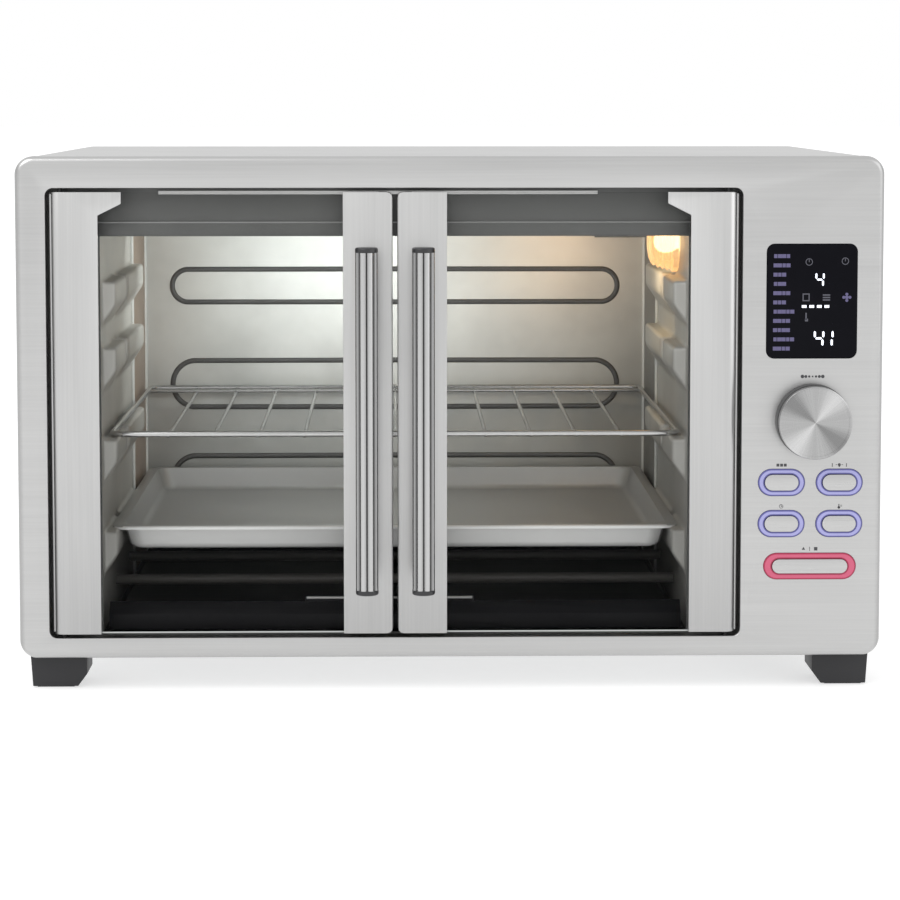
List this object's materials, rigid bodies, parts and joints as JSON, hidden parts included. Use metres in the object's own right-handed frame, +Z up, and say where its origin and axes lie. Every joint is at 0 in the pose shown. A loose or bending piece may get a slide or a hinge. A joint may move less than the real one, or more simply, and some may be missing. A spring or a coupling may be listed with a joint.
{
  "type": "toaster oven",
  "caption": "Countertop toaster oven with French doors on side hinges, wire rack, baking and crumb trays, convection fan and a digital control panel.",
  "frame": {"origin": "bottom centre of the whole object's box, on the surface that the feet stand on", "axes": "+X to the right as seen from the front, the doors face -Y, +Z up"},
  "size_m": [0.56, 0.4054, 0.348],
  "materials": {
    "stainless": "fine horizontal brushing",
    "handle_steel": "brushed lengthwise, satin",
    "knob_metal": "turned face with fine circular brushing",
    "chrome": "bright plated wire",
    "aluminized": "semi-gloss reflective sheet",
    "dark_metal": "satin heat-resistant dark grey",
    "heater_sheath": "dull oxidised metal sheath",
    "black_enamel": "glossy black enamel",
    "black_plastic": "fine moulded texture",
    "galvanized": "zinc-coated sheet",
    "door_glass": "clear tempered glass",
    "lamp_glass": "ribbed heat-resistant glass",
    "ceramic": "unglazed white",
    "display_black": "glossy black window",
    "blue_light": "translucent violet-blue light ring",
    "red_light": "translucent red light ring",
    "circuit_board": "green laminate"
  },
  "bodies": {
    "root": {"front_frame": "stainless", "outer_wrapper": "stainless", "door_head_strip": "stainless", "rear_cover": "galvanized", "base_plate": "galvanized", "bay_shield": "galvanized", "fan_motor": "galvanized", "encoder_body": "galvanized", "foot_front_left": "black_plastic", "foot_front_right": "black_plastic", "foot_rear_left": "black_plastic", "foot_rear_right": "black_plastic", "cord_gland": "black_plastic", "inner_face": "dark_metal", "heater_upper_front": "heater_sheath", "heater_upper_rear": "heater_sheath", "heater_lower_front": "heater_sheath", "heater_lower_rear": "heater_sheath", "side_wall_left": "aluminized", "side_wall_right": "aluminized", "back_wall": "aluminized", "ceiling_plate": "aluminized", "fan_housing": "aluminized", "floor_plate": "black_enamel", "lamp_cover": "lamp_glass", "lamp_bulb": "lamp_glass", "lamp_holder": "ceramic", "temperature_probe": "chrome", "left_hinge_rod": "chrome", "right_hinge_rod": "chrome", "display_window": "display_black", "mode_ring": "blue_light", "light_ring": "blue_light", "time_ring": "blue_light", "temperature_ring": "blue_light", "start_ring": "red_light", "control_board": "circuit_board", "power_board": "circuit_board"},
    "left_door": {"left_hinge_stile": "stainless", "left_centre_stile": "stainless", "left_door_glass": "door_glass", "left_handle_bar": "handle_steel", "left_handle_post_upper": "chrome", "left_handle_post_lower": "chrome"},
    "right_door": {"right_hinge_stile": "stainless", "right_centre_stile": "stainless", "right_door_glass": "door_glass", "right_handle_bar": "handle_steel", "right_handle_post_upper": "chrome", "right_handle_post_lower": "chrome"},
    "knob": {"control_knob": "knob_metal"},
    "fan": {"fan_wheel": "aluminized"},
    "rack": {"wire_rack": "chrome"},
    "tray": {"baking_tray": "aluminized"},
    "crumb_drawer": {"crumb_tray": "black_enamel"},
    "mode_key": {"mode_button": "stainless"},
    "light_key": {"light_button": "stainless"},
    "time_key": {"time_button": "stainless"},
    "temperature_key": {"temperature_button": "stainless"},
    "start_key": {"start_button": "stainless"}
  },
  "joints": [
    {"name": "left_door_hinge", "type": "hinge", "parent": "root", "child": "left_door", "pos_m": [-0.2515, -0.15925, 0.1815], "axis": [0, 0, -1], "range_deg": [0, 105]},
    {"name": "right_door_hinge", "type": "hinge", "parent": "root", "child": "right_door", "pos_m": [0.1795, -0.15925, 0.1815], "axis": [0, 0, 1], "range_deg": [0, 105]},
    {"name": "knob_turn", "type": "hinge", "parent": "root", "child": "knob", "pos_m": [0.2343, -0.17325, 0.1768], "axis": [0, -1, 0], "continuous": true},
    {"name": "fan_spin", "type": "hinge", "parent": "root", "child": "fan", "pos_m": [0.172, 0.11975, 0.165], "axis": [1, 0, 0], "continuous": true},
    {"name": "rack_slide", "type": "slide", "parent": "root", "child": "rack", "axis": [0, -1, 0], "range_m": [0, 0.022]},
    {"name": "baking_tray_slide", "type": "slide", "parent": "root", "child": "tray", "axis": [0, -1, 0], "range_m": [0, 0.024]},
    {"name": "crumb_tray_slide", "type": "slide", "parent": "root", "child": "crumb_drawer", "axis": [0, -1, 0], "range_m": [0, 0.008]},
    {"name": "mode_press", "type": "slide", "parent": "root", "child": "mode_key", "axis": [0, 1, 0], "range_m": [0, 0.0012], "stiffness_N_per_m": 400},
    {"name": "light_press", "type": "slide", "parent": "root", "child": "light_key", "axis": [0, 1, 0], "range_m": [0, 0.0012], "stiffness_N_per_m": 400},
    {"name": "time_press", "type": "slide", "parent": "root", "child": "time_key", "axis": [0, 1, 0], "range_m": [0, 0.0012], "stiffness_N_per_m": 400},
    {"name": "temperature_press", "type": "slide", "parent": "root", "child": "temperature_key", "axis": [0, 1, 0], "range_m": [0, 0.0012], "stiffness_N_per_m": 400},
    {"name": "start_press", "type": "slide", "parent": "root", "child": "start_key", "axis": [0, 1, 0], "range_m": [0, 0.0012], "stiffness_N_per_m": 400}
  ]
}
